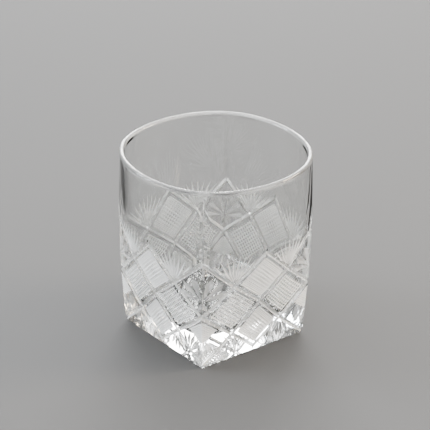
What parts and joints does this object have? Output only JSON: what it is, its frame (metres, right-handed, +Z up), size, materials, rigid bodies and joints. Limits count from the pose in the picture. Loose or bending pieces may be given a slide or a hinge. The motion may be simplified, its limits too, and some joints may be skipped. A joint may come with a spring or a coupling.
{
  "type": "whiskey tumbler",
  "caption": "Cut crystal whiskey tumbler with a square foot that turns into a round rim, deep mitre and hatched diamond cutting and fan cuts.",
  "frame": {"origin": "centre of the flat underside of the foot, on the surface that the glass stands on", "axes": "+Z up along the glass's axis; the four flat sides face +X, -X, +Y and -Y, and the corner edges lie on the diagonals"},
  "size_m": [0.0824, 0.0824, 0.0872],
  "materials": {
    "crystal": "clear colourless lead crystal, acid polished, with fine satin in the hatched cuts"
  },
  "bodies": {
    "root": {"foot": "crystal", "cut_wall": "crystal", "clear_wall": "crystal", "rim": "crystal"}
  },
  "joints": []
}
